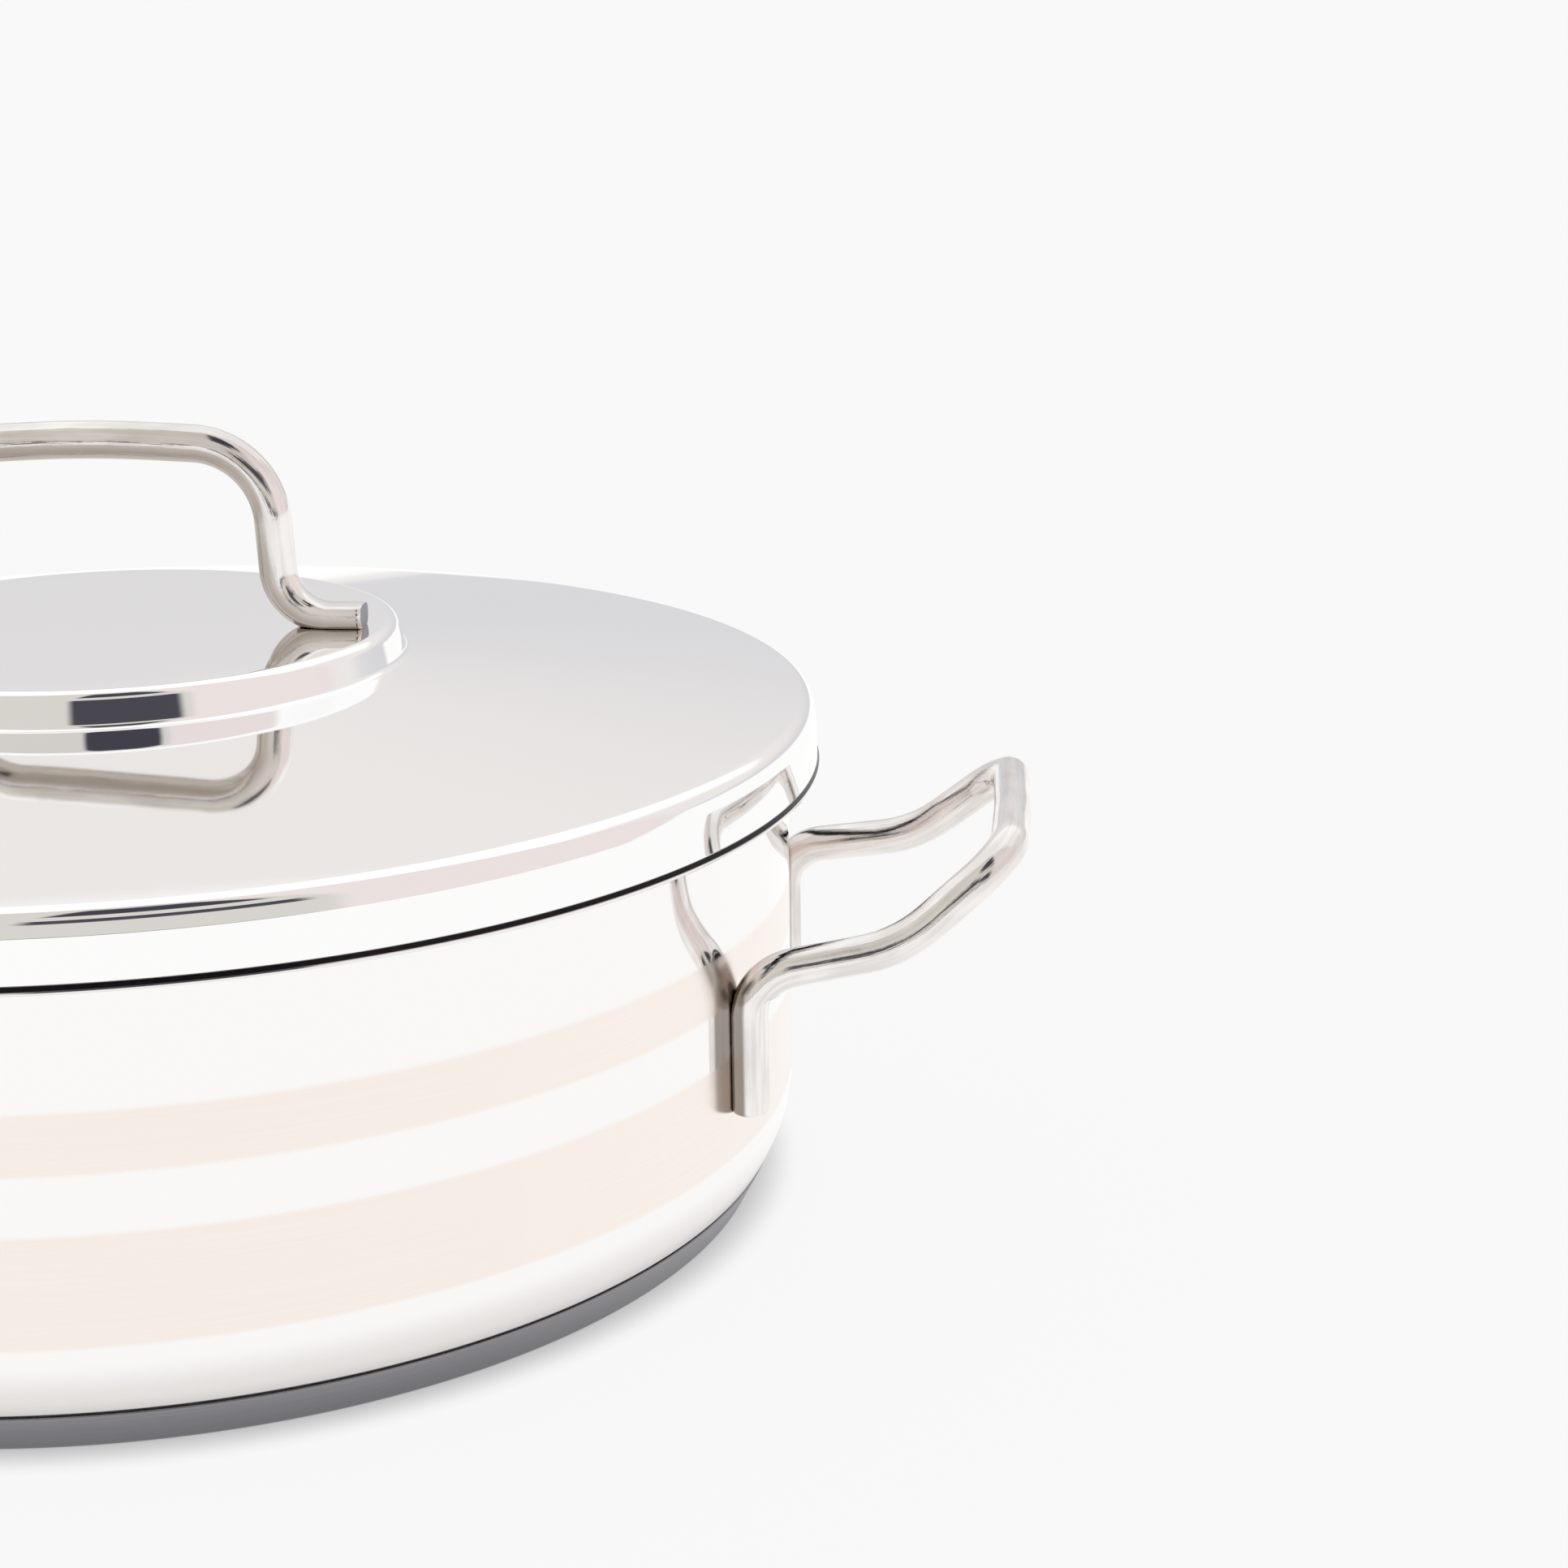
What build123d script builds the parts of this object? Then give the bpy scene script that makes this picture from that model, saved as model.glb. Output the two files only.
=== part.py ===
from build123d import *

import os
from math import acos, asin, cos, degrees, hypot, radians, sin, sqrt

# A low stainless steel casserole with two loop handles and a lid that slips over its rim.
# Millimetres. The origin is the middle of the face that it stands on, +Z is up,
# and the two side handles lie along X.

# Pan: a deep drawn sheet
pan_inner_diameter = 280.0
wall_thickness = 0.7
wall_foot_height = 22.5      # where the upright wall starts, above the table
corner_radius = 26.0         # the large round between wall and base
knuckle_radius = 2.0         # the tight round that seats the pan on its base
rim_flare = 3.9              # how far the lip stands out from the wall
flare_lower_radius = 6.0
flare_upper_radius = 3.0
lip_height = 1.0             # upright end of the lip

# Base: an aluminium core in a pressed steel capsule
base_height = 8.0
capsule_inset = 4.4          # its upper edge lies this far inside the outside of the wall
capsule_lean = 4.0           # how far its side leans in, down to the table
capsule_sheet = 0.6
capsule_edge_radius = 1.4
capsule_groove = 0.3         # left open between the capsule's upper edge and the pan

# Lid: one pressing, with a skirt outside the rim and a raised disc in the middle
lid_sheet = 0.8
lid_play = 1.9               # from the pan's lip out to the inside of the skirt's lower edge
skirt_bottom_height = 89.2
skirt_curl = 0.45            # how far the skirt's lower edge is curled outwards
skirt_curl_height = 1.0
skirt_curl_radius = 2.0
skirt_draft = 0.4            # how much the skirt closes in from its curl to the top
shoulder_height = 102.6      # where skirt and cone would meet in a sharp corner
shoulder_radius = 3.5
disc_foot_diameter = 123.4
disc_foot_height = 112.1
disc_foot_radius = 1.5
disc_top_diameter = 119.6
disc_height = 119.0
disc_edge_radius = 2.5
lid_rest_gap = 0.7           # from the lip up to the lid's cone; the shoulder comes closer

# Rod that all three handles are bent from
rod_diameter = 7.7
rod_end_round = 1.0

# Side handles: distances out from the pan's wall, widths between the two legs
foot_spread = 88.8
foot_bottom_height = 31.7
foot_bend_height = 59.8
foot_bend_radius = 10.0
foot_seat_depth = 0.9        # how deep the foot is hollowed to sit on the wall
foot_flat_depth = 0.8        # how deep the press flattens the foot's outer side
foot_flat_length = 21.9
knee_reach = 25.1
knee_spread = 79.8
knee_height = 64.5
knee_bend_radius = 28.0
grip_reach = 45.9
grip_spread = 66.5
grip_height = 81.9
grip_bend_radius = 12.5
grip_bow = 0.6               # how far the grip's middle stands out from its corners
grip_bow_radius = 200.0

# Lid handle: half widths are measured from the middle of the lid
lid_foot_end = 54.6
lid_foot_seat_depth = 1.25   # flat ground off the rod where it sits on the disc
lid_foot_thickness = 4.8     # what the press leaves of the rod, from the disc up
lid_foot_press_radius = 6.3  # round of the press tool, next to the leg
lid_foot_press_gap = 0.1     # from the press tool to the leg
lid_leg_foot = 37.6
lid_leg_top = 35.9
lid_leg_bend_radius = 9.5
lid_grip_rise = 36.9         # from the disc up to the corners of the grip
lid_grip_bend_radius = 16.5
lid_grip_arch = 1.9
lid_grip_arch_radius = 250.0

quarter_turn = 90

rod_radius = rod_diameter / 2
wall_outer_radius = pan_inner_diameter / 2 + wall_thickness
foot_axis_radius = wall_outer_radius + rod_radius - foot_seat_depth
capsule_radius = wall_outer_radius - capsule_inset
capsule_height = base_height - capsule_groove


def side_handle_corners():
    """Corner points of one side handle's rod, from its rear foot to its front foot.

    The first half is listed as (out along X, half spread along Y, height) and the
    second half is the first one mirrored in the XZ plane."""
    foot_out = sqrt(foot_axis_radius**2 - (foot_spread / 2) ** 2)
    half = [
        (foot_out, foot_spread / 2, foot_bottom_height),
        (foot_out, foot_spread / 2, foot_bend_height),
        (wall_outer_radius + knee_reach, knee_spread / 2, knee_height),
        (wall_outer_radius + grip_reach, grip_spread / 2, grip_height),
    ]
    middle = (wall_outer_radius + grip_reach + grip_bow, 0, grip_height)
    return half + [middle] + [(x, -y, z) for x, y, z in reversed(half)]


def lid_handle_corners():
    """Corner points of the lid handle's rod in the XZ plane, as (along X, height)."""
    foot_axis_height = disc_height + rod_radius - lid_foot_seat_depth
    grip_corner_height = disc_height + lid_grip_rise
    half = [
        (lid_foot_end, foot_axis_height),
        (lid_leg_foot, foot_axis_height),
        (lid_leg_top, grip_corner_height),
    ]
    return half + [(0, grip_corner_height + lid_grip_arch)] + [(-x, z) for x, z in reversed(half)]


def capsule_outline(inset, top):
    """Half outline of the capsule, set in by a distance: flat floor, round edge, and a
    side that leans out as far as the given height."""
    foot_radius = capsule_radius - capsule_lean
    lean = capsule_lean / capsule_height
    side_shift = inset * hypot(1, lean)
    foot = (foot_radius + lean * inset - side_shift, inset)
    edge = (foot_radius + lean * top - side_shift, top)
    return FilletPolyline((0, inset), foot, edge, radius=capsule_edge_radius - inset)


# Pan. The knuckle and the large corner are tangent arcs: the knuckle's centre lies
# inside the large arc by the difference of the two radii, which gives the turn of each.
centre_rise = wall_foot_height - base_height - knuckle_radius
arc_gap = corner_radius - knuckle_radius
corner_turn = degrees(asin(centre_rise / arc_gap))
floor_radius = wall_outer_radius - corner_radius + arc_gap * cos(radians(corner_turn))

# The lip is an S of two arcs that turn by the same angle, out and back upright.
flare_radii = flare_lower_radius + flare_upper_radius
flare_turn = degrees(acos(1 - rim_flare / flare_radii))
rim_outer_radius = wall_outer_radius + rim_flare
lid_radius = rim_outer_radius + lid_play + lid_sheet
skirt_radius = lid_radius - skirt_curl
skirt_top_radius = skirt_radius - skirt_draft
lid_slope = (disc_foot_height - shoulder_height) / (skirt_top_radius - disc_foot_diameter / 2)
lid_top_over_rim = shoulder_height + lid_slope * (skirt_top_radius - rim_outer_radius)
rim_height = lid_top_over_rim - lid_sheet - lid_rest_gap
flare_start_height = rim_height - lip_height - flare_radii * sin(radians(flare_turn))

with BuildPart() as pot_body:
    with BuildSketch(Plane.XZ):
        with BuildLine():
            floor_line = Line((0, base_height), (floor_radius, base_height))
            knuckle = JernArc(
                floor_line @ 1, floor_line % 1, knuckle_radius, quarter_turn - corner_turn
            )
            corner = JernArc(knuckle @ 1, knuckle % 1, corner_radius, corner_turn)
            wall = Line(corner @ 1, (wall_outer_radius, flare_start_height))
            flare = JernArc(wall @ 1, wall % 1, flare_lower_radius, -flare_turn)
            upturn = JernArc(flare @ 1, flare % 1, flare_upper_radius, flare_turn)
            Line(upturn @ 1, (rim_outer_radius, rim_height))
            offset(amount=wall_thickness, side=Side.LEFT)
        make_face()
    revolve(axis=Axis.Z)
pot_body.part.label = "pot_body"

# Aluminium core: it fills the capsule up to the pan's underside.
with BuildPart() as base_core:
    with BuildSketch(Plane.XZ):
        with BuildLine():
            core_outline = capsule_outline(capsule_sheet, base_height)
            core_top = Line(core_outline @ 1, (0, base_height))
            Line(core_top @ 1, core_outline @ 0)
        make_face()
    revolve(axis=Axis.Z)
base_core.part.label = "base_core"

# Steel capsule: a shallow dish pressed over the core, its edge a thin groove below the pan.
with BuildPart() as base_cap:
    with BuildSketch(Plane.XZ):
        with BuildLine():
            outside = capsule_outline(0, capsule_height)
            inside = capsule_outline(capsule_sheet, capsule_height)
            Line(outside @ 1, inside @ 1)
            Line(inside @ 0, outside @ 0)
        make_face()
    revolve(axis=Axis.Z)
base_cap.part.label = "base_cap"

# Side handle: a rod swept along straight runs and bends. Its feet are hollowed by the wall
# that they sit on, and pressed flat on their outer side.
foot_azimuth = degrees(asin(foot_spread / 2 / foot_axis_radius))
foot_flat_radius = foot_axis_radius + rod_radius - foot_flat_depth
bends = [foot_bend_radius, knee_bend_radius, grip_bend_radius]
with BuildPart() as side_handle_right:
    with BuildLine() as side_path:
        FilletPolyline(side_handle_corners(), radius=bends + [grip_bow_radius] + bends[::-1])
    with BuildSketch(Plane(origin=side_path.line @ 0, z_dir=side_path.line % 0)):
        Circle(rod_radius)
    sweep()
    fillet(side_handle_right.faces().group_by(Axis.Z)[0].edges(), rod_end_round)
    Cylinder(
        wall_outer_radius,
        rim_height,
        align=(Align.CENTER, Align.CENTER, Align.MIN),
        mode=Mode.SUBTRACT,
    )
    with BuildSketch(Plane.XY.offset(foot_bottom_height)):
        with PolarLocations(foot_flat_radius, 2, -foot_azimuth, 2 * foot_azimuth, endpoint=True):
            Rectangle(rod_diameter, 2 * rod_diameter, align=(Align.MIN, Align.CENTER))
    extrude(amount=foot_flat_length, mode=Mode.SUBTRACT)
side_handle_right.part.label = "side_handle_right"

with BuildPart() as side_handle_left:
    mirror(side_handle_right.part, about=Plane.YZ)
side_handle_left.part.label = "side_handle_left"

# Lid: the outline runs up from the curled edge along the skirt, over the shoulder and up
# on to the raised disc.
with BuildPart() as lid_shell:
    with BuildSketch(Plane.XZ):
        with BuildLine():
            FilletPolyline(
                (lid_radius, skirt_bottom_height),
                (skirt_radius, skirt_bottom_height + skirt_curl_height),
                (skirt_top_radius, shoulder_height),
                (disc_foot_diameter / 2, disc_foot_height),
                (disc_top_diameter / 2, disc_height),
                (0, disc_height),
                radius=[skirt_curl_radius, shoulder_radius, disc_foot_radius, disc_edge_radius],
            )
            offset(amount=lid_sheet, side=Side.LEFT)
        make_face()
    revolve(axis=Axis.Z)
lid_shell.part.label = "lid_shell"

# Lid handle: the same rod in one upright plane. Its feet are ground flat on the disc and
# pressed flat on top, with the press tool's round running up into the leg.
leg_side = lid_leg_foot + rod_radius + lid_foot_press_gap
press_floor = disc_height + lid_foot_thickness
press_top = press_floor + lid_leg_bend_radius
press_end = lid_foot_end + rod_radius
lid_bends = [lid_leg_bend_radius, lid_grip_bend_radius]
with BuildPart() as lid_handle:
    with BuildLine(Plane.XZ) as lid_path:
        FilletPolyline(
            lid_handle_corners(), radius=lid_bends + [lid_grip_arch_radius] + lid_bends[::-1]
        )
    with BuildSketch(Plane(origin=lid_path.line @ 0, z_dir=lid_path.line % 0)):
        Circle(rod_radius)
    sweep()
    rod_ends = lid_handle.faces().sort_by(Axis.X)
    fillet(rod_ends[0].edges() + rod_ends[-1].edges(), rod_end_round)
    split(bisect_by=Plane.XY.offset(disc_height), keep=Keep.TOP)
    with BuildSketch(Plane.XZ):
        with BuildLine():
            pressed = FilletPolyline(
                (leg_side, press_top),
                (leg_side, press_floor),
                (press_end, press_floor),
                radius=lid_foot_press_radius,
            )
            Polyline(pressed @ 1, (press_end, press_top), pressed @ 0)
        make_face()
        mirror(about=Plane.YZ)
    extrude(amount=rod_diameter, both=True, mode=Mode.SUBTRACT)
lid_handle.part.label = "lid_handle"

os.makedirs("parts", exist_ok=True)
export_step(pot_body.part, "parts/pot_body.step")
export_step(base_core.part, "parts/base_core.step")
export_step(base_cap.part, "parts/base_cap.step")
export_step(side_handle_right.part, "parts/side_handle_right.step")
export_step(side_handle_left.part, "parts/side_handle_left.step")
export_step(lid_shell.part, "parts/lid_shell.step")
export_step(lid_handle.part, "parts/lid_handle.step")
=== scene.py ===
# %% [markdown]
# # A polished steel casserole
# The casserole is all one metal, so nearly everything that the eye reads on it is a reflection.
# The lesson goes in that order: the camera, the sheet and rod as smooth numpy surfaces, the
# finishes, and last the studio that the steel reflects.

from math import ceil, cos, pi, radians, sin

import bpy
import numpy as np
from mathutils import Matrix, Vector


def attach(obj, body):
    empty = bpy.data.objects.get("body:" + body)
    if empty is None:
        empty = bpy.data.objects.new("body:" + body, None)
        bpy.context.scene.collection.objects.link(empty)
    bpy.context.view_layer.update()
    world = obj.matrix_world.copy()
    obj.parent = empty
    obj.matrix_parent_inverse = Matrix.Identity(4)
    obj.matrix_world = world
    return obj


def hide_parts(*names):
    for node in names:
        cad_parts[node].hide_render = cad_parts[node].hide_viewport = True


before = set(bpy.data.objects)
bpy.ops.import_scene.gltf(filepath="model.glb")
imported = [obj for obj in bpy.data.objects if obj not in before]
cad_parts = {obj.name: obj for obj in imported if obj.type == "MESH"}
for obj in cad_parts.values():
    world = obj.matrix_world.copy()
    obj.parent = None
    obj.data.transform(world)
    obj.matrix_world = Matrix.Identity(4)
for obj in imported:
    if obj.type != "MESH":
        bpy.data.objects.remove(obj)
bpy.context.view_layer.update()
print("frame:", sorted(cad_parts))

# %% [markdown]
# ## Camera
# A photograph of round ware gives its camera away: each rim is an ellipse, and the rims at several
# heights fix the height of the camera, its distance and its tilt. Blender could track that with
# constraints, but a spot, three angles and a lens say the same and can be read.

# %% The camera
mm = 0.001
camera_spot = Vector((190.2, -614.4, 254.3)) * mm
camera_pan = radians(-4.647)
camera_dip = radians(15.241)
camera_roll = -0.012
lens_length = 71.41
sensor_width = 36

ahead_level = (sin(camera_pan) * cos(camera_dip), cos(camera_pan) * cos(camera_dip))
ahead = Vector((*ahead_level, -sin(camera_dip)))
level_right = Vector((cos(camera_pan), -sin(camera_pan), 0))
level_up = level_right.cross(ahead)
image_right = cos(camera_roll) * level_right + sin(camera_roll) * level_up
image_up = cos(camera_roll) * level_up - sin(camera_roll) * level_right
camera_data = bpy.data.cameras.new("camera")
camera_data.lens = lens_length
camera_data.sensor_width = sensor_width
camera = bpy.data.objects.new("camera", camera_data)
camera_turn = Matrix((image_right, image_up, -ahead)).transposed().to_4x4()
camera.matrix_world = Matrix.Translation(camera_spot) @ camera_turn
bpy.context.scene.collection.objects.link(camera)
bpy.context.scene.camera = camera
print("camera looks along", [round(v, 3) for v in ahead])

# %% [markdown]
# ## Outlines and paths
# Pressed sheet and bent rod are both drawn the same way: straight runs with an arc in each corner.
# A Bezier curve would only come near such arcs, and a mirror finish shows every flat spot or bump
# in the curvature, so the arcs are worked out exactly.

# %% Straight runs and arcs
arc_step = radians(4)
fewest_arc_points = 7
same_point = 1e-7


def bent_line(corners, radii, run_step):
    """Points along straight runs with an arc in each inner corner, in the plane or in space.

    At a corner that turns by t, an arc of radius r starts r * tan(t / 2) before the corner. From that
    start S, with a the way in and n square to it towards the way out, the arc is
    S + r * sin(v) * a + r * (1 - cos(v)) * n, for v from 0 to t."""
    corners = np.array(corners, float)
    pieces = [corners[:1]]
    for before, corner, after, radius in zip(corners, corners[1:], corners[2:], radii):
        way_in = (corner - before) / np.linalg.norm(corner - before)
        way_out = (after - corner) / np.linalg.norm(after - corner)
        turn = np.arccos(way_in @ way_out)
        square = way_out - (way_in @ way_out) * way_in
        square = square / np.linalg.norm(square)
        v = np.linspace(0, turn, max(fewest_arc_points, ceil(turn / arc_step)))[:, None]
        start = corner - radius * np.tan(turn / 2) * way_in
        pieces.append(start + radius * np.sin(v) * way_in + radius * (1 - np.cos(v)) * square)
    pieces.append(corners[-1:])
    filled = [pieces[0]]
    for before, after in zip(pieces, pieces[1:]):
        gap = np.linalg.norm(after[0] - before[-1])
        count = max(1, ceil(gap / run_step))
        share = np.arange(1, count)[:, None] / count
        filled.append(before[-1] * (1 - share) + after[0] * share)
        filled.append(after)
    points = np.vstack(filled)
    apart = np.linalg.norm(np.diff(points, axis=0), axis=1) > same_point
    return points[np.r_[True, apart]]


def along(points):
    """Unit direction at each point: the mean of the directions of the two segments that meet there."""
    steps = np.diff(points, axis=0)
    steps = steps / np.linalg.norm(steps, axis=1)[:, None]
    mean = np.vstack([steps[:1], steps[1:] + steps[:-1], steps[-1:]])
    return mean / np.linalg.norm(mean, axis=1)[:, None]


# %% [markdown]
# ## A mesh from an array of points
# Every piece here is a sheet of points, rows by columns, whose columns close into a ring. The mesh
# tools of Blender could spin or sweep it, but an array keeps the places exact and the faces in
# order, and a row that has shrunk to one point becomes a single closed pole.

# %% Skin over an array
pole_size = 1e-9
sharp_from = radians(35)


def skin(name, grid, body, node, inner=None, straight=None):
    """Mesh over grid[row, column], whose columns form a ring. Neighbours in both ways make a face, and a
    first or last row that is all one point becomes one vertex with a fan of triangles round it.

    The volume it encloses is the sum over the faces of a . (b x c) / 6, and it comes out negative where
    the faces look inwards."""
    rows, columns = grid.shape[:2]
    number = np.arange(rows * columns).reshape(rows, columns)
    for row in (0, rows - 1):
        if np.ptp(grid[row], axis=0).max() < pole_size:
            number[row] = number[row, 0]
    beside = np.roll(number, -1, axis=1)
    quads = np.stack([number[:-1], beside[:-1], beside[1:], number[1:]], axis=-1).reshape(-1, 4)
    fan = (quads[:, 0] == quads[:, 1]) | (quads[:, 2] == quads[:, 3])
    fans = quads[fan]
    triangles = np.where((fans[:, 0] == fans[:, 1])[:, None], fans[:, [0, 2, 3]], fans[:, [0, 1, 2]])
    used = np.unique(number)
    renumber = np.zeros(rows * columns, int)
    renumber[used] = np.arange(len(used))
    points = grid.reshape(-1, 3)
    a, b, c, d = (points[quads[:, corner]] for corner in range(4))
    volume = (a * (np.cross(b, c) + np.cross(c, d))).sum() / 6
    mesh = bpy.data.meshes.new(name)
    mesh.from_pydata(points[used], [], renumber[quads[~fan]].tolist() + renumber[triangles].tolist())
    if inner is not None:
        side = mesh.attributes.new("inside", "FLOAT", "POINT")
        side.data.foreach_set("value", np.repeat(inner, columns)[used].astype(np.float32))
    if straight is not None:
        spot = mesh.attributes.new("straight", "FLOAT_VECTOR", "POINT")
        spot.data.foreach_set("vector", straight.reshape(-1, 3)[used].astype(np.float32).ravel())
    mesh.shade_smooth()
    mesh.set_sharp_from_angle(angle=sharp_from)
    piece = bpy.data.objects.new(name, mesh)
    bpy.context.scene.collection.objects.link(piece)
    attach(piece, body)
    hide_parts(node)
    print(name, "has", len(used), "vertices and encloses", round(volume / mm**3 / 1000, 2), "ml")
    return piece


# %% [markdown]
# ## Turned sheet
# Pan, capsule and lid are round, so each is one outline carried round the Z axis. Only the outside is
# drawn. The inside is the same line moved inwards by the thickness of the sheet, and the cut edge of
# the sheet is a half circle, as the deburring leaves it.

# %% From an outline to a round piece
spokes = 384
sheet_run_step = 6
edge_points = 9


def sheet_outline(outside, thickness):
    """Closed outline of a sheet, from the axis round its edge and back to the axis.

    The inside is outside + t * n, with n to the left of the way d along it, and the edge is the half circle
    centre - n * (t / 2) * cos(v) + d * (abs(t) / 2) * sin(v) about the middle of the sheet."""
    way = along(outside)
    left = np.column_stack([-way[:, 1], way[:, 0]])
    inside = outside + thickness * left
    v = np.linspace(0, pi, edge_points)[1:-1, None]
    centre = outside[-1] + thickness / 2 * left[-1]
    edge = centre + abs(thickness) / 2 * np.sin(v) * way[-1] - thickness / 2 * np.cos(v) * left[-1]
    flags = np.r_[np.zeros(len(outside)), np.full(len(edge), 0.5), np.ones(len(inside))]
    return np.vstack([outside, edge, inside[::-1]]), flags


def turned(outline):
    """Carries an outline of (distance from the axis, height) round the axis: (r cos a, r sin a, z)."""
    a = np.linspace(0, 2 * pi, spokes, endpoint=False)
    r, z = outline[:, 0, None], outline[:, 1, None]
    return np.stack([r * np.cos(a), r * np.sin(a), z + 0 * a], axis=-1)


# %% [markdown]
# ## Pan
# The pan is deep drawn: a flat floor, a tight knuckle where it sits on its base, a large round and an
# upright wall. Its lip stands out in an S of two arcs, which the lid hides. Knuckle and round touch
# without a straight run between them, and so do the two arcs of the S.

# %% The pan
sheet = 0.7
base_height = 8.0
wall_radius = 140.7
corner_radius, knuckle_radius, wall_foot = 26.0, 2.0, 22.5
lip_out, lip_height, rim_height = 3.9, 1.0, 101.307
flare_low_radius, flare_top_radius = 6.0, 3.0

corner_turn = np.arcsin((wall_foot - base_height - knuckle_radius) / (corner_radius - knuckle_radius))
floor_radius = wall_radius - corner_radius + (corner_radius - knuckle_radius) * np.cos(corner_turn)
knuckle_corner = floor_radius + knuckle_radius * np.tan((pi / 2 - corner_turn) / 2)
round_corner = wall_foot - corner_radius * np.tan(corner_turn / 2)
flare_turn = np.arccos(1 - lip_out / (flare_low_radius + flare_top_radius))
lip_foot = rim_height - lip_height - flare_top_radius * np.tan(flare_turn / 2)
flare_foot = rim_height - lip_height - (flare_low_radius + flare_top_radius) * np.sin(flare_turn)
pan_outside = bent_line(
    [
        (0, base_height),
        (knuckle_corner, base_height),
        (wall_radius, round_corner),
        (wall_radius, flare_foot + flare_low_radius * np.tan(flare_turn / 2)),
        (wall_radius + lip_out, lip_foot),
        (wall_radius + lip_out, rim_height - sheet / 2),
    ],
    [knuckle_radius, corner_radius, flare_low_radius, flare_top_radius],
    run_step=sheet_run_step,
)
pan_outline, pan_inner = sheet_outline(pan_outside, sheet)
pan = skin("pan", turned(pan_outline * mm), "pot", "pot_body", pan_inner)

# %% [markdown]
# ## Capsule
# A steel capsule closes the base over an aluminium core. Its side leans in towards the table, and a
# hair's breadth is left open under the pan: the dark line that tells a bonded base from a plain one.

# %% The capsule
capsule_sheet = 0.6
capsule_top_radius, capsule_foot_radius = 136.3, 132.3
capsule_height, capsule_edge = 7.7, 1.4
capsule_outside = bent_line(
    [(0, 0), (capsule_foot_radius, 0), (capsule_top_radius, capsule_height - capsule_sheet / 2)],
    [capsule_edge],
    run_step=sheet_run_step,
)
capsule_outline = sheet_outline(capsule_outside, capsule_sheet)[0]
capsule = skin("capsule", turned(capsule_outline * mm), "pot", "base_cap")

# %% [markdown]
# ## Lid
# One pressing as well: a skirt that slips over the rim, a cone so shallow that it looks flat, and a
# raised disc that carries the handle. The shoulder is tight, and that is where the ceiling of the
# studio shrinks to one bright line. Just under it the skirt leans in a little, which shows as a grey
# band, and at its foot it ends in a small curl outwards, left from trimming.

# %% The lid
lid_sheet = 0.8
curl_radius, skirt_foot = 147.3, 89.2
skirt_radius, curl_height = 146.85, 90.2
bend_radius, bend_height = 146.58, 98.3
shoulder_radius, shoulder = 145.68, 102.686
disc_foot_radius, disc_foot, disc_radius, disc_top = 61.7, 112.1, 59.8, 119.0
lid_outside = bent_line(
    [
        (0, disc_top),
        (disc_radius, disc_top),
        (disc_foot_radius, disc_foot),
        (shoulder_radius, shoulder),
        (bend_radius, bend_height),
        (skirt_radius, curl_height),
        (curl_radius, skirt_foot),
    ],
    [2.5, 1.5, 3.2, 2.0, 2.0],
    run_step=sheet_run_step,
)
lid_outline, lid_inner = sheet_outline(lid_outside, -lid_sheet)
lid = skin("lid", turned(lid_outline * mm)[::-1], "lid", "lid_shell", lid_inner[::-1])

# %% [markdown]
# ## Bent rod
# The three handles are one rod, bent cold. A circle carried along the path would do for the rod, but
# the feet are pressed: hollowed by the wall they sit on and flattened by the tool. Here the circle is
# carried along first, and then each point that lies past a tool's face is moved on to that face, with
# a soft edge, as the press moves the metal.

# %% A rod along a path
rod_radius = 3.85
rod_end_round = 1.0
rod_sides = 64
rod_run_step = 0.5
face_rings, round_rings = 6, 7


def rod(path, aside):
    """Circle of the rod's radius carried along a path, its two ends rounded and closed by a pole.

    At each point the circle lies in the plane of u = d x aside and w = d x u, d being the way along the
    path. On the end face the radius s grows from 0 to r - e, and over the round of radius e it is
    s = r - e * (1 - sin(v)), at e * (1 - cos(v)) from the end, for v from 0 to a quarter turn. The same
    points on the straightened rod, (run along the path, s * cos(a), s * sin(a)), come with them."""
    way = along(path)
    v = np.linspace(0, pi / 2, round_rings)
    face = np.linspace(0, rod_radius - rod_end_round, face_rings)[:-1]
    end_size = np.r_[face, rod_radius - rod_end_round * (1 - np.sin(v))]
    end_depth = np.r_[0 * face, rod_end_round * (1 - np.cos(v))][:, None]
    from_start = np.linalg.norm(path - path[0], axis=1)
    from_stop = np.linalg.norm(path - path[-1], axis=1)
    middle = (from_start > rod_end_round) & (from_stop > rod_end_round)
    stop = (path[-1] - end_depth * way[-1])[::-1]
    centres = np.vstack([path[0] + end_depth * way[0], path[middle], stop])
    ways = np.vstack([way[0] + 0 * end_depth, way[middle], way[-1] + 0 * end_depth])
    size = np.r_[end_size, np.full(middle.sum(), rod_radius), end_size[::-1]]
    u = np.cross(ways, aside)
    u = u / np.linalg.norm(u, axis=1)[:, None]
    w = np.cross(ways, u)
    a = np.linspace(0, 2 * pi, rod_sides, endpoint=False)[None, :, None]
    run = np.r_[0, np.linalg.norm(np.diff(centres, axis=0), axis=1).cumsum()][:, None, None]
    ring = size[:, None, None]
    straight = np.concatenate([run + 0 * a, ring * np.cos(a), ring * np.sin(a)], axis=-1)
    return centres[:, None] + ring * (np.cos(a) * u[:, None] + np.sin(a) * w[:, None]), straight


def tool_round(past, radius):
    """How far a press tool's face stands back, past its flat part: R - sqrt(R^2 - past^2), up to R."""
    return radius - np.sqrt(radius**2 - np.clip(past, 0, radius) ** 2)


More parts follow.
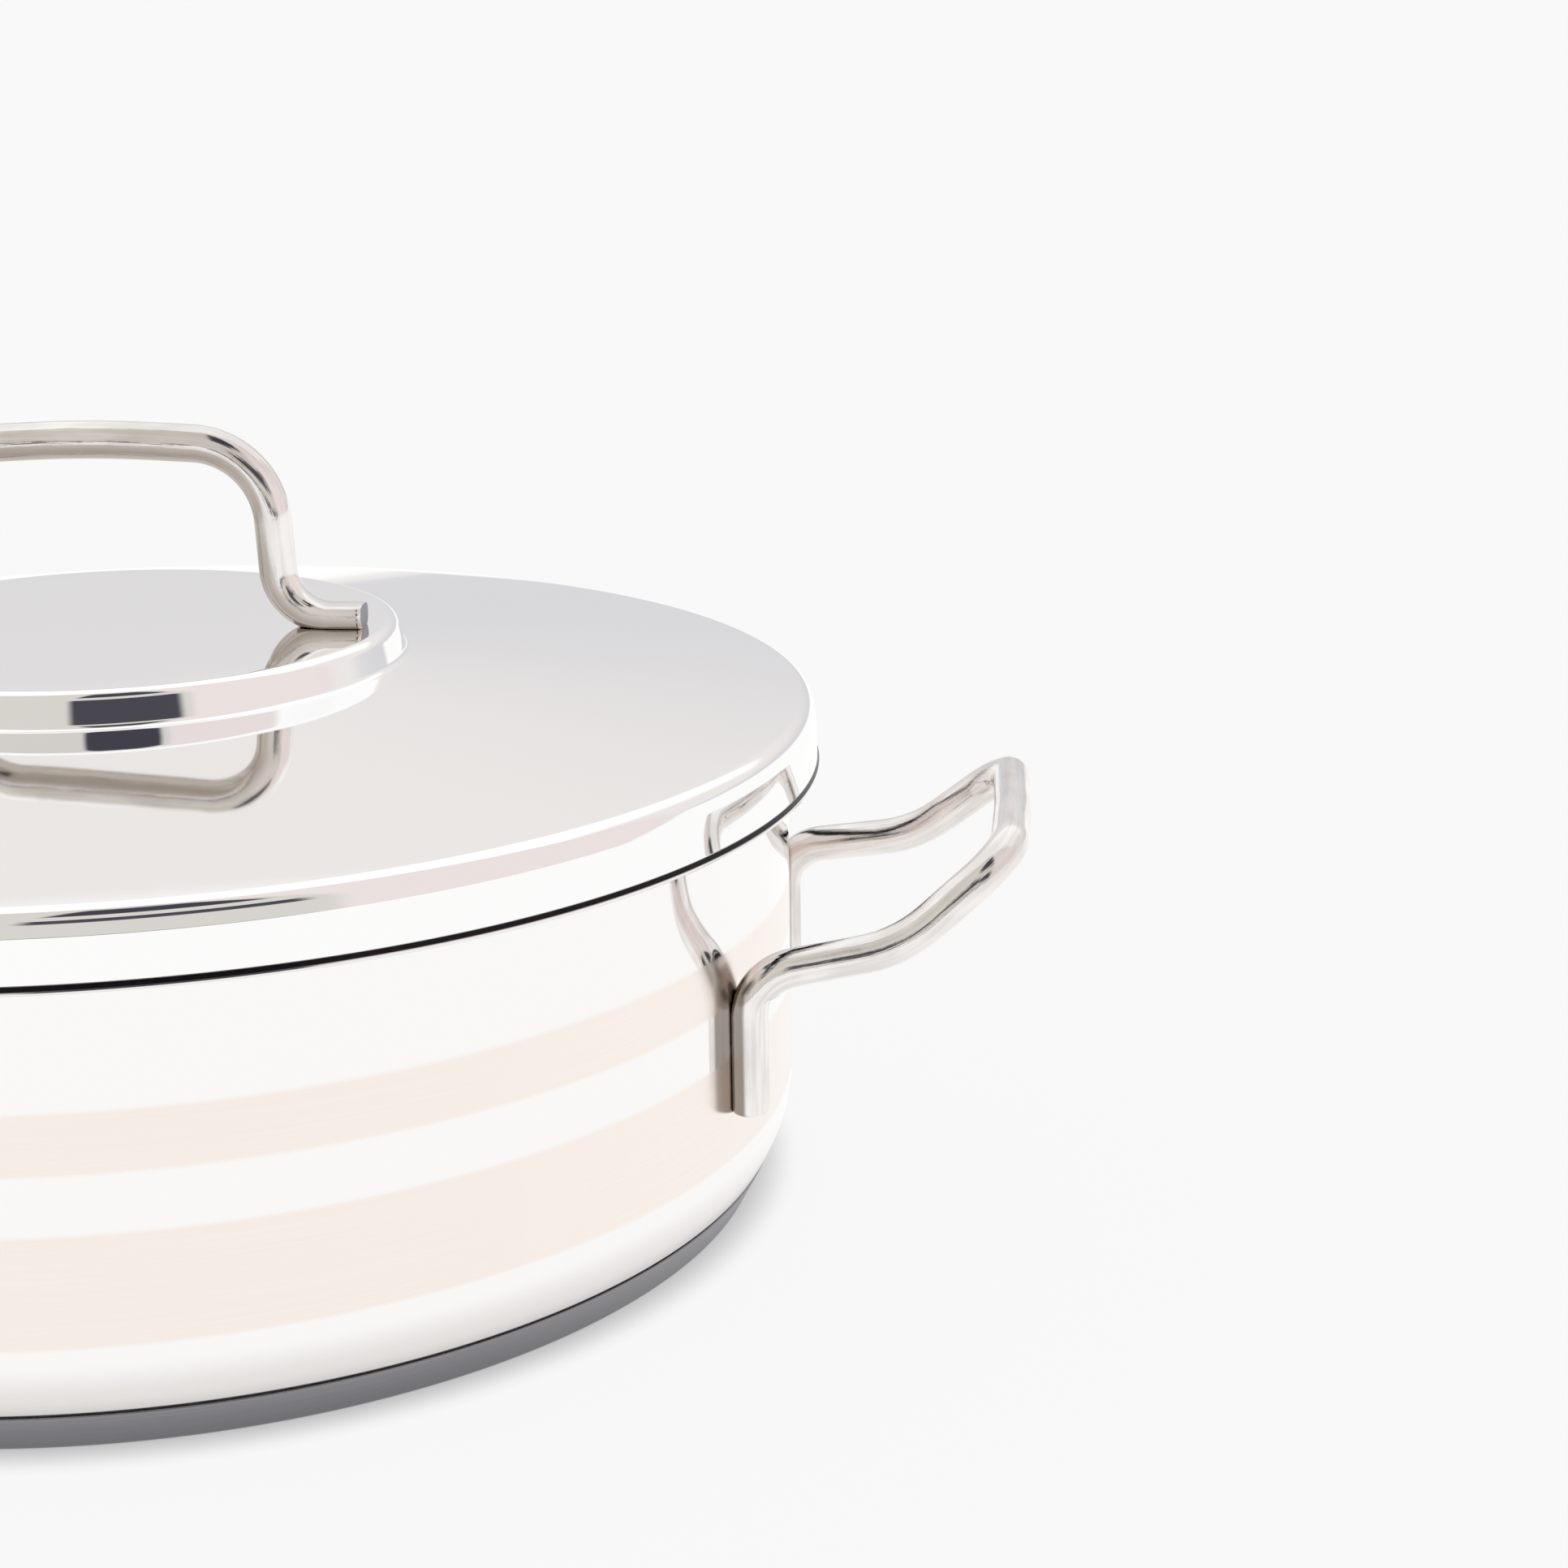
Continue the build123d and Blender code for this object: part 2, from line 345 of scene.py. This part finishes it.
def held_under(distance, limit, softness):
    """The distance, kept under a limit with an edge of softness s.

    It is limit - s * log(1 + exp((limit - distance) / s))."""
    return limit - softness * np.logaddexp(0, (limit - distance) / softness)


# %% [markdown]
# ## Side handles
# From the feet the rod rises along the wall, swings out over a wide bend and turns up into the grip, so
# that a hand can pass under it and clear the hot wall. The left handle is the right one in a mirror.

# %% The side handles
foot_spread, foot_bottom, foot_bend = 88.8, 31.7, 59.8
foot_seat, foot_flat, foot_flat_top, press_round = 0.9, 0.8, 53.6, 2.0
knee_out, knee_spread, knee_height = 25.1, 79.8, 64.5
grip_out, grip_spread, grip_height, grip_bow = 45.9, 66.5, 81.9, 0.6
seat_softness, press_softness = 0.08, 0.12

foot_axis = wall_radius + rod_radius - foot_seat
foot_out = (foot_axis**2 - (foot_spread / 2) ** 2) ** 0.5
half_handle = [
    (foot_out, foot_spread / 2, foot_bottom),
    (foot_out, foot_spread / 2, foot_bend),
    (wall_radius + knee_out, knee_spread / 2, knee_height),
    (wall_radius + grip_out, grip_spread / 2, grip_height),
]
grip_middle = [(wall_radius + grip_out + grip_bow, 0, grip_height)]
handle_path = bent_line(
    half_handle + grip_middle + [(x, -y, z) for x, y, z in half_handle[::-1]],
    [10.0, 28.0, 12.5, 200.0, 12.5, 28.0, 10.0],
    run_step=rod_run_step,
)
handle_skin, handle_straight = rod(handle_path, (-1, 0, 1))
out = np.hypot(handle_skin[..., 0], handle_skin[..., 1])
seated = -held_under(-out, -wall_radius, seat_softness)
handle_skin[..., :2] *= (seated / out)[..., None]
foot_side = np.sign(handle_skin[..., 1])
foot_azimuth = np.arcsin(foot_spread / 2 / foot_axis)
foot_way = np.stack([np.full_like(out, np.cos(foot_azimuth)), foot_side * np.sin(foot_azimuth)], axis=-1)
reach = (handle_skin[..., :2] * foot_way).sum(axis=-1)
above_press = handle_skin[..., 2] - foot_flat_top
press_face = foot_axis + rod_radius - foot_flat + tool_round(above_press, press_round)
pressed_in = held_under(reach, press_face, press_softness) - reach
handle_skin[..., :2] += np.where(above_press < press_round, pressed_in, 0)[..., None] * foot_way

side_right = skin(
    "side_rod_right", handle_skin * mm, "pot", "side_handle_right", straight=handle_straight
)
left_skin, left_straight = (handle_skin * [-1, 1, 1])[:, ::-1], handle_straight[:, ::-1]
side_left = skin(
    "side_rod_left", left_skin * mm, "pot", "side_handle_left", straight=left_straight
)

# %% [markdown]
# ## Lid handle
# The same rod in one upright plane. Its feet are ground flat under the weld and pressed from above, which
# spreads them to the sides, and the tool's round runs up into the leg.

# %% The lid handle
lid_foot_end, lid_seat, lid_foot_thick = 54.6, 1.25, 4.8
leg_foot, leg_top, lid_grip_rise, lid_grip_arch = 37.6, 35.9, 36.9, 1.9
leg_press_round, leg_press_softness, tool_gap, foot_spreading = 6.3, 0.48, 0.1, 0.16

half_lid_handle = [
    (lid_foot_end, 0, disc_top + rod_radius - lid_seat),
    (leg_foot, 0, disc_top + rod_radius - lid_seat),
    (leg_top, 0, disc_top + lid_grip_rise),
]
lid_handle_path = bent_line(
    half_lid_handle + [(0, 0, disc_top + lid_grip_rise + lid_grip_arch)]
    + [(-x, y, z) for x, y, z in half_lid_handle[::-1]],
    [9.5, 16.5, 250.0, 16.5, 9.5],
    run_step=rod_run_step,
)
lid_rod_skin, lid_straight = rod(lid_handle_path, (0, 1, 0))
lid_rod_skin[..., 2] = -held_under(-lid_rod_skin[..., 2], -disc_top, seat_softness)
past_leg = np.abs(lid_rod_skin[..., 0]) - (leg_foot + rod_radius + tool_gap)
tool_face = disc_top + lid_foot_thick + tool_round(leg_press_round - past_leg, leg_press_round)
pressed = held_under(lid_rod_skin[..., 2], tool_face, leg_press_softness)
lid_rod_skin[..., 2] = np.where(past_leg > 0, pressed, lid_rod_skin[..., 2])
lid_rod_skin[..., 1] *= 1 + foot_spreading * np.clip(past_leg / leg_press_round, 0, 1) ** 2
lid_rod = skin("lid_rod", lid_rod_skin * mm, "lid", "lid_handle", straight=lid_straight)

# %% [markdown]
# ## Shader maths as Python
# A finish is a formula over the surface, so it should read as one. A small class wraps a socket, and
# every sum or product of sockets adds the Math node that works it out.

# %% The socket class
class Sock:
    """A socket in a node tree: +, - and * on it add Math nodes."""

    def __init__(self, tree, link):
        self.tree, self.link = tree, link

    def node(self, kind, settings, values, out=0):
        """Adds a node of a type, sets its settings first and then the values or links of its sockets."""
        made = self.tree.nodes.new(kind)
        for key, value in settings.items():
            setattr(made, key, value)
        for key, value in values.items():
            if isinstance(value, Sock):
                self.tree.links.new(value.link, made.inputs[key])
            else:
                made.inputs[key].default_value = value
        return Sock(self.tree, made.outputs[out])

    def maths(self, operation, a, b=0.0):
        return self.node("ShaderNodeMath", {"operation": operation}, {0: a, 1: b})

    def __add__(self, other):
        return self.maths("ADD", self, other)

    def __sub__(self, other):
        return self.maths("SUBTRACT", self, other)

    def __rsub__(self, other):
        return self.maths("SUBTRACT", other, self)

    def __mul__(self, other):
        return self.maths("MULTIPLY", self, other)

    __radd__ = __add__
    __rmul__ = __mul__

    def rise(self, low, high):
        """0 below low, 1 above high, and a smooth step between them."""
        return self.node(
            "ShaderNodeMapRange",
            {"interpolation_type": "SMOOTHSTEP"},
            {"Value": self, "From Min": low, "From Max": high},
        )

    def between(self, low, high, edge):
        """1 between two values, with soft edges of a given width."""
        return self.rise(low - edge / 2, low + edge / 2) * (1 - self.rise(high - edge / 2, high + edge / 2))

    def blend(self, none, full):
        """Colour that goes from none to full as this socket goes from 0 to 1."""
        return self.node("ShaderNodeMix", {"data_type": "RGBA"}, {0: self, 6: none, 7: full}, out=2)

    def stretched(self, x, y, z):
        """Vector scaled along its three axes."""
        return self.node("ShaderNodeVectorMath", {"operation": "MULTIPLY"}, {0: self, 1: (x, y, z)})

    def noise(self, detail, roughness=0.5):
        """Noise from 0 to 1 at this vector."""
        values = {"Vector": self, "Scale": 1.0, "Detail": detail, "Roughness": roughness}
        return self.node("ShaderNodeTexNoise", {}, values)

    def stored(self, name, out):
        """An attribute that the mesh carries: output 1 is a vector and output 2 a number."""
        return self.node("ShaderNodeAttribute", {"attribute_name": name}, {}, out=out)

    def part(self, axis):
        """One number of this vector."""
        return self.node("ShaderNodeSeparateXYZ", {}, {0: self}, out=axis)


def finish(name, metallic):
    """A new material. Gives it, its shader's output node and the place on the surface in millimetres."""
    material = bpy.data.materials.new(name)
    material.use_nodes = True
    shader = material.node_tree.nodes["Principled BSDF"]
    shader.inputs["Metallic"].default_value = metallic
    start = Sock(material.node_tree, None)
    place = start.node("ShaderNodeTexCoord", {}, {}, out=3).stretched(1000, 1000, 1000)
    return material, shader, place


def dress(shader, colour, roughness, height=None, depth=0.0):
    """Links a colour, a roughness and a height, given with its depth in millimetres, to the shader."""
    tree = colour.tree
    tree.links.new(colour.link, shader.inputs["Base Color"])
    tree.links.new(roughness.link, shader.inputs["Roughness"])
    if height is not None:
        values = {"Height": height, "Distance": depth * mm, "Strength": 1.0}
        bump = height.node("ShaderNodeBump", {}, values)
        tree.links.new(bump.link, shader.inputs["Normal"])


# %% [markdown]
# ## Finish of the pan
# The wall is polished to a mirror, then two bands are brushed round it with fine grit, so each band
# is thousands of hairlines that run level. They blur the reflection and warm it a little. Noise that
# is stretched along the wall and squeezed across it makes such lines with no seam. Inside, the pan
# has a plain turned satin.

# %% Pan finish
polished = (0.955, 0.950, 0.945, 1)
satin = (0.955, 0.885, 0.835, 1)
# low_corner_shade is painted shade: the polished wall is painted darker near its foot, where it reflects
# the shadowed table by the base.
low_corner_shade = (0.79, 0.765, 0.755, 1)
inside_satin = (0.74, 0.735, 0.73, 1)
low_band, high_band, band_edge = (22.5, 43.4), (54.3, 65.6), 1.2

pan_steel, shader, place = finish("mirror_and_satin_bands", 1.0)
height = place.part(2)
inside = place.stored("inside", 2).rise(0.4, 0.6)
bands = (height.between(*low_band, band_edge) + height.between(*high_band, band_edge)) * (1 - inside)
hairline = place.stretched(0.02, 0.02, 5.0).noise(3.0)
cloud = place.stretched(0.03, 0.03, 0.03).noise(2.0)
# Below 12 to 20 mm the polished colour fades to the painted shade of low_corner_shade.
brushed = bands.blend(height.rise(12, 20).blend(low_corner_shade, polished), satin)
streaked = (bands * (hairline - 0.5) * 0.5).rise(-0.4, 0.4)
streaked = streaked.blend((0.93, 0.93, 0.93, 1), (1.0, 1.0, 1.0, 1))
multiply = {"data_type": "RGBA", "blend_type": "MULTIPLY"}
colour = brushed.node("ShaderNodeMix", multiply, {0: 1.0, 6: brushed, 7: streaked}, out=2)
colour = inside.blend(colour, inside_satin)
rough = 0.03 + cloud * 0.02 + bands * (0.12 + hairline * 0.08) + inside * (0.2 + hairline * 0.1)
dress(shader, colour, rough, hairline * (bands + inside), 0.004)
pan.data.materials.append(pan_steel)
print("pan finish nodes:", len(pan_steel.node_tree.nodes))

# %% [markdown]
# ## Finish of the capsule
# The base is turned and left satin, so its side has rings. Its colour is painted dark grey, as painted
# shade for the shadowed table that the side faces and reflects. The same stretched noise gives the rings,
# with a stronger bump.

# %% Capsule and core finishes
capsule_steel, shader, place = finish("turned_satin_painted_shade", 1.0)
rings = place.stretched(0.02, 0.02, 4.0).noise(3.0)
# The dark colour of the rings is painted shade, not the colour of the steel.
colour = rings.blend((0.23, 0.23, 0.25, 1), (0.33, 0.33, 0.355, 1))
dress(shader, colour, 0.30 + rings * 0.12, rings, 0.006)
capsule.data.materials.append(capsule_steel)

core_metal, shader, place = finish("pressed_aluminium", 1.0)
grain = place.stretched(0.9, 0.9, 0.9).noise(4.0)
dress(shader, grain.blend((0.62, 0.62, 0.63, 1), (0.72, 0.72, 0.73, 1)), 0.45 + grain * 0.15, grain, 0.01)
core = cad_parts["base_core"]
core.material_slots[0].material = core_metal
print("capsule finish nodes:", len(capsule_steel.node_tree.nodes))

# %% [markdown]
# ## Finish of the lid
# The lid is the best mirror of the three: a polished top with the faintest haze, and a satin underside.
# The curl at its edge is painted near black and left rough: painted shade for the dark shadow gap between
# the skirt and the pan. A mask on the height in the lid's own frame marks it, so it stays in place when the
# lid is lifted.

# %% Lid finish
lid_steel, shader, place = finish("mirror_lid", 1.0)
inside = place.stored("inside", 2).rise(0.4, 0.6)
curl_blur = 0.15
curled = place.part(2).between(skirt_foot + curl_blur, curl_height + curl_blur, 0.25) * (1 - inside)
haze = place.stretched(0.02, 0.02, 0.02).noise(2.0)
turning = place.stretched(0.02, 0.02, 5.0).noise(2.0)
gap_shade_noise = place.stretched(0.9, 0.9, 0.9).noise(3.0)
colour = inside.blend(haze.blend((0.93, 0.93, 0.935, 1), (0.95, 0.95, 0.95, 1)), inside_satin)
# The curl's near-black colour is painted shade for the shadow gap under the skirt; gap_shade_noise only
# varies it a little.
colour = curled.blend(colour, gap_shade_noise.blend((0.010, 0.008, 0.012, 1), (0.03, 0.026, 0.03, 1)))
rough = 0.025 + haze * 0.02 + inside * 0.22 + curled * 0.3
dress(shader, colour, rough, turning * inside, 0.004)
lid.data.materials.append(lid_steel)
print("lid finish nodes:", len(lid_steel.node_tree.nodes))

# %% [markdown]
# ## Finish of the rods
# Rod is drawn and then polished in a tumbler, which leaves it bright but not flat: its reflections are
# drawn out along the rod and a little grainy. The streaks are noise on the straightened rod, stretched
# along its run, so that they follow every bend. The inner side of each loop is painted darker and warmer
# as painted shade, the side of the side handles that runs close beside the pan wall is painted dark brown
# as painted shade, and the cut ends stay dull.

# %% Rod finish
rod_steel, shader, place = finish("tumbled_rod", 1.0)
straight = place.stored("straight", 1)
streaks = straight.stretched(0.03, 0.9, 0.9).noise(3.0, 0.6)
grain = straight.stretched(1.2, 3.0, 3.0).noise(3.0)
slow = straight.stretched(0.08, 0.2, 0.2).noise(2.0)
height = place.part(2)
far_out = place.part(0).maths("ABSOLUTE", place.part(0))
cut_near, cut_far = 0.02, 0.12
cut_below = 1 - height.rise(foot_bottom + cut_near, foot_bottom + cut_far)
cut_beyond = far_out.rise(lid_foot_end - cut_far, lid_foot_end - cut_near) * height.between(118, 126, 1)
cut = cut_below + cut_beyond
# loop_side_shade: painted shade on the inner side of each loop, strongest on the lid handle.
loop_side_shade = (straight.part(1) + streaks * 2.0).rise(0.6, 3.8)
level_place = place.stretched(1, 1, 0)
from_axis = place.node("ShaderNodeVectorMath", {"operation": "LENGTH"}, {0: level_place}, out=1)
# wall_side_shade: painted shade, dark brown, on the rod where it runs close beside the pan wall.
wall_side_shade = from_axis.between(135, 144.0, 0.9)
drawn = (slow * 0.5 + streaks * 0.5).rise(0.36, 0.62)
colour = drawn.blend((0.72, 0.69, 0.67, 1), (0.90, 0.87, 0.85, 1))
loop_side_shade = loop_side_shade * (0.15 + height.rise(110, 118) * 0.75)
# Painted shade goes into the colour here: the loop side darker and warmer, then the wall side dark brown.
colour = loop_side_shade.blend(colour, (0.44, 0.385, 0.335, 1))
colour = (wall_side_shade * 0.85).blend(colour, (0.27, 0.235, 0.20, 1))
colour = cut.blend(colour, (0.30, 0.30, 0.33, 1))
rough = 0.05 + slow * 0.07 + grain * 0.05 + loop_side_shade * 0.06 + cut * 0.3
dress(shader, colour, rough, streaks * 0.9 + grain * 0.1, 0.10)
for piece in (side_right, side_left, lid_rod):
    piece.data.materials.append(rod_steel)
print("rod finish nodes:", len(rod_steel.node_tree.nodes))

# %% [markdown]
# ## Floor
# A pale sweep of paper that ends a step in front of the pot. It is lit by the studio and keeps the soft
# shadow of the pot. Part of its brightness is its own, in what the camera and the steel see, so the
# background stays even, and ambient occlusion draws the tight dark seam where the pot stands on it.

# %% The floor
floor_reach, floor_front = 14.0, 1.4
floor_mesh = bpy.data.meshes.new("floor")
floor_corners = [
    (-floor_reach, -floor_front, 0),
    (floor_reach, -floor_front, 0),
    (floor_reach, floor_reach, 0),
    (-floor_reach, floor_reach, 0),
]
floor_mesh.from_pydata(floor_corners, [], [(0, 1, 2, 3)])
floor = bpy.data.objects.new("floor", floor_mesh)
bpy.context.scene.collection.objects.link(floor)

paper = bpy.data.materials.new("paper")
paper.use_nodes = True
paper_tree = paper.node_tree
paper_tree.nodes.remove(paper_tree.nodes["Principled BSDF"])
start = Sock(paper_tree, None)
seen = start.node("ShaderNodeLightPath", {}, {}, out=0)
mirrored = start.node("ShaderNodeLightPath", {}, {}, out=3)
seam_reach = 0.009
open_sky = start.node("ShaderNodeAmbientOcclusion", {"samples": 8}, {"Distance": seam_reach}, out=1)
opened = open_sky.rise(0.0, 1.0)
to_camera = opened.blend((0.478, 0.478, 0.478, 1), (0.957, 0.957, 0.957, 1))
to_steel = opened.blend((0.525, 0.522, 0.52, 1), (1.05, 1.045, 1.04, 1))
glow = start.node("ShaderNodeEmission", {}, {"Color": mirrored.blend(to_camera, to_steel), "Strength": 1.0})
lit = start.node("ShaderNodeBsdfDiffuse", {}, {"Color": (0.86, 0.86, 0.86, 1)})
mixed = start.node("ShaderNodeMixShader", {}, {0: (seen + mirrored) * 0.95, 1: lit, 2: glow})
paper_tree.links.new(mixed.link, paper_tree.nodes["Material Output"].inputs["Surface"])
floor_mesh.materials.append(paper)
print("floor reaches", floor_reach, "m back and", floor_front, "m to the front")

# %% [markdown]
# ## Studio
# Polished steel is a picture of the room. The room here is a world of soft fields, laid out by the angle
# at which a look goes up from the front and over to the back: the dark edge of the table, a grey-green
# front with one dark doorway and a dark boom above it, a rosy right side, a long white softbox
# overhead, and a pale back wall. Panels and lamps could make these too, but fields in the world put
# nothing in the scene that the camera could see.

# %% The world
camera_way = Vector((camera_spot.x, camera_spot.y, 0)).normalized()
aside_way = Vector((-camera_way.y, camera_way.x, 0))
world = bpy.data.worlds.new("studio")
world.use_nodes = True
world_tree = world.node_tree
start = Sock(world_tree, None)
way = start.node("ShaderNodeTexCoord", {}, {}, out=0)
front = way.node("ShaderNodeVectorMath", {"operation": "DOT_PRODUCT"}, {0: way, 1: camera_way}, out=1)
side = way.node("ShaderNodeVectorMath", {"operation": "DOT_PRODUCT"}, {0: way, 1: aside_way}, out=1)
azimuth = way.maths("ARCTAN2", side, front)
lift = way.part(2)
over = way.maths("ARCTAN2", lift, front)
in_middle = azimuth.between(radians(-15), radians(27), radians(4))
doorway_and_boom = in_middle * (lift.between(0.17, 0.46, 0.04) + lift.between(0.74, 0.975, 0.03))
in_front = front.rise(-0.2, 0.1)
short_of_right = 1 - azimuth.rise(radians(20), radians(34))
table_edge = lift.between(-0.20, -0.02, 0.02) * in_front * short_of_right
right_side = azimuth.rise(radians(29), radians(34)) * in_front
softbox = over.between(radians(87), radians(148), radians(5)) * side.between(-0.9, 0.75, 0.15)
room = over.rise(radians(150), radians(178)).blend((0.88, 0.845, 0.825, 1), (0.71, 0.705, 0.725, 1))
room = front.rise(-0.08, 0.08).blend(room, (0.72, 0.69, 0.65, 1))
room = right_side.blend(room, (0.88, 0.80, 0.785, 1))
dark = lift.rise(0.0, 0.5).blend((0.10, 0.10, 0.115, 1), (0.06, 0.057, 0.075, 1))
room = doorway_and_boom.blend(room, dark)
room = table_edge.blend(room, (0.11, 0.10, 0.11, 1))
room = softbox.blend(room, (1.08, 1.08, 1.08, 1))
backdrop = (0.941, 0.941, 0.941, 1)
seen = way.node("ShaderNodeLightPath", {}, {}, out=0)
world_tree.links.new(seen.blend(room, backdrop).link, world_tree.nodes["Background"].inputs["Color"])
bpy.context.scene.world = world
print("studio nodes:", len(world_tree.nodes))

# %% Colour
bpy.context.scene.view_settings.view_transform = "Standard"
